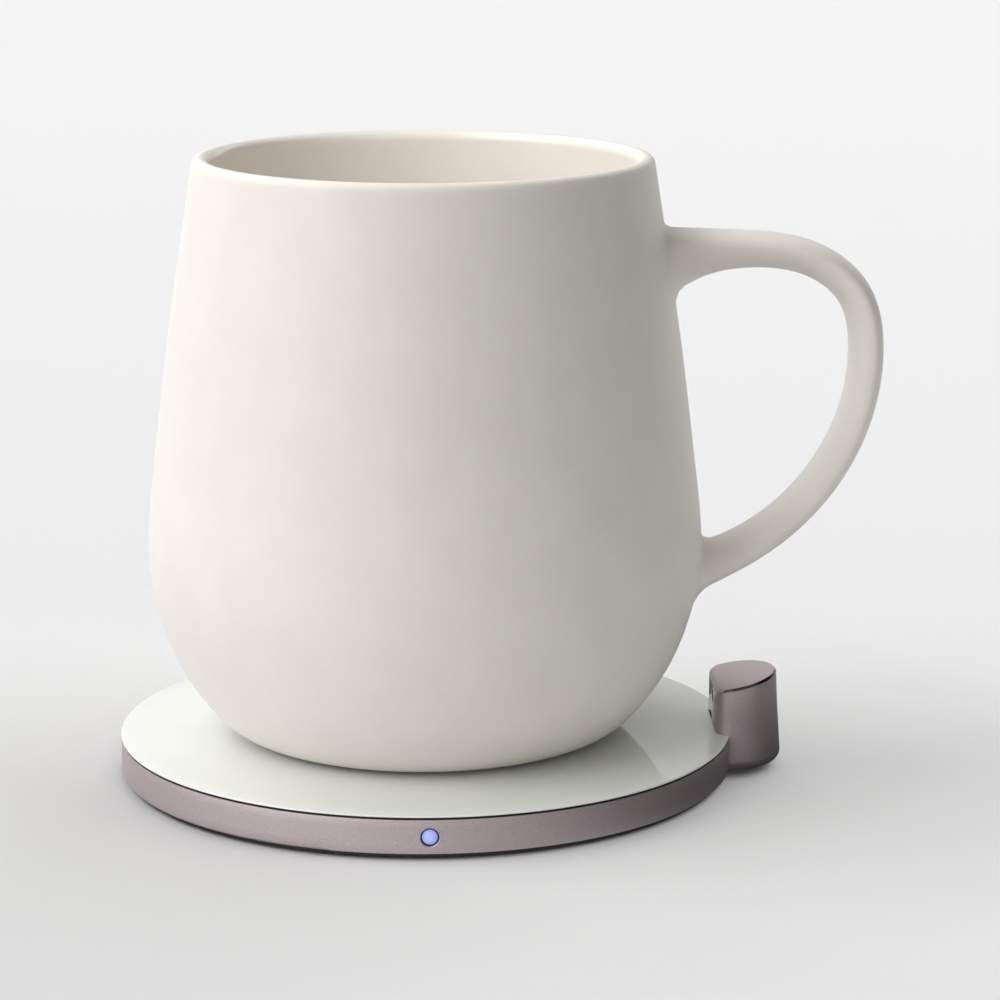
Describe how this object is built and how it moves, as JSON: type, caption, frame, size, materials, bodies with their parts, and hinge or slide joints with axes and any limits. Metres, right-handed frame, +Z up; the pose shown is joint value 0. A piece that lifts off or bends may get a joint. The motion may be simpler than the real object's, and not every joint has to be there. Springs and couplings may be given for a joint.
{
  "type": "electric mug warmer",
  "caption": "Round wireless warming pad with a glass top, metal rim and side post, and the porcelain mug that stands on it and lifts off.",
  "frame": {"origin": "centre of the pad's underside, on the table", "axes": "+Z up out of the glass, +X towards the post and the mug's handle, -Y towards the lamp at the front"},
  "size_m": [0.1217, 0.098, 0.0991],
  "materials": {
    "porcelain": "matte warm white porcelain, bisque-smooth outside and clear glazed inside",
    "white_glass": "tempered glass, printed white on its back",
    "anodised_aluminium": "bead-blasted and anodised, rose grey",
    "mirror_glass": "polished coated glass",
    "plastic_black": "black moulded plastic",
    "silicone_black": "black silicone rubber",
    "dark_lens": "dark tinted window",
    "lamp_lens": "milky moulded light pipe, lit blue-white",
    "lamp_emitter": "small white lamp",
    "steel": "plated steel",
    "gold_contact": "gold plated contact",
    "circuit_board": "green solder mask",
    "chip_black": "moulded chip case",
    "ceramic_part": "tan fired ceramic",
    "ferrite": "dark sintered ferrite",
    "plastic_cream": "cream heat-proof plastic",
    "foam_black": "black foam tape",
    "foam_white": "white silicone foam",
    "flex_film": "amber polyimide film",
    "copper": "enamelled copper winding",
    "heater": "aluminium heating disc"
  },
  "bodies": {
    "pad": {"foot_sheet": "silicone_black", "base_plate": "plastic_black", "base_screws": "steel", "inner_frame": "plastic_black", "rim_ring": "anodised_aluminium", "edge_seal": "silicone_black", "glass_tape": "foam_black", "glass_top": "white_glass", "post_shell": "anodised_aluminium", "post_face_plate": "mirror_glass", "sensor_ribbon": "flex_film", "sensor_window": "dark_lens", "post_sensor": "chip_black", "post_sensor_board": "circuit_board", "post_screws": "steel", "lamp_ring": "plastic_black", "light_pipe": "lamp_lens", "lamp_emitter": "lamp_emitter", "inlet_shell": "steel", "inlet_tongue": "plastic_black", "inlet_contacts": "gold_contact", "inlet_solder_tail": "plastic_black", "main_board": "circuit_board", "controller_chip": "chip_black", "switching_chips": "chip_black", "resonance_capacitors": "ceramic_part", "input_choke": "ferrite", "ribbon_socket": "plastic_cream", "shield_sheet": "steel", "pad_ferrite": "ferrite", "sending_coil": "copper", "coil_cover": "plastic_cream", "heat_insulating_foam": "foam_white", "sensor_support": "foam_white", "temperature_sensor": "chip_black", "sensor_heat_pad": "foam_white"},
    "mug": {"mug_body": "porcelain", "mug_handle": "porcelain", "mug_base_cap": "porcelain", "mug_ferrite": "ferrite", "receiving_coil": "copper", "heating_disc": "heater"}
  },
  "joints": [
    {"name": "mug_lift", "type": "slide", "parent": "pad", "child": "mug", "axis": [0, 0, 1], "range_m": [0, 0.12]}
  ]
}
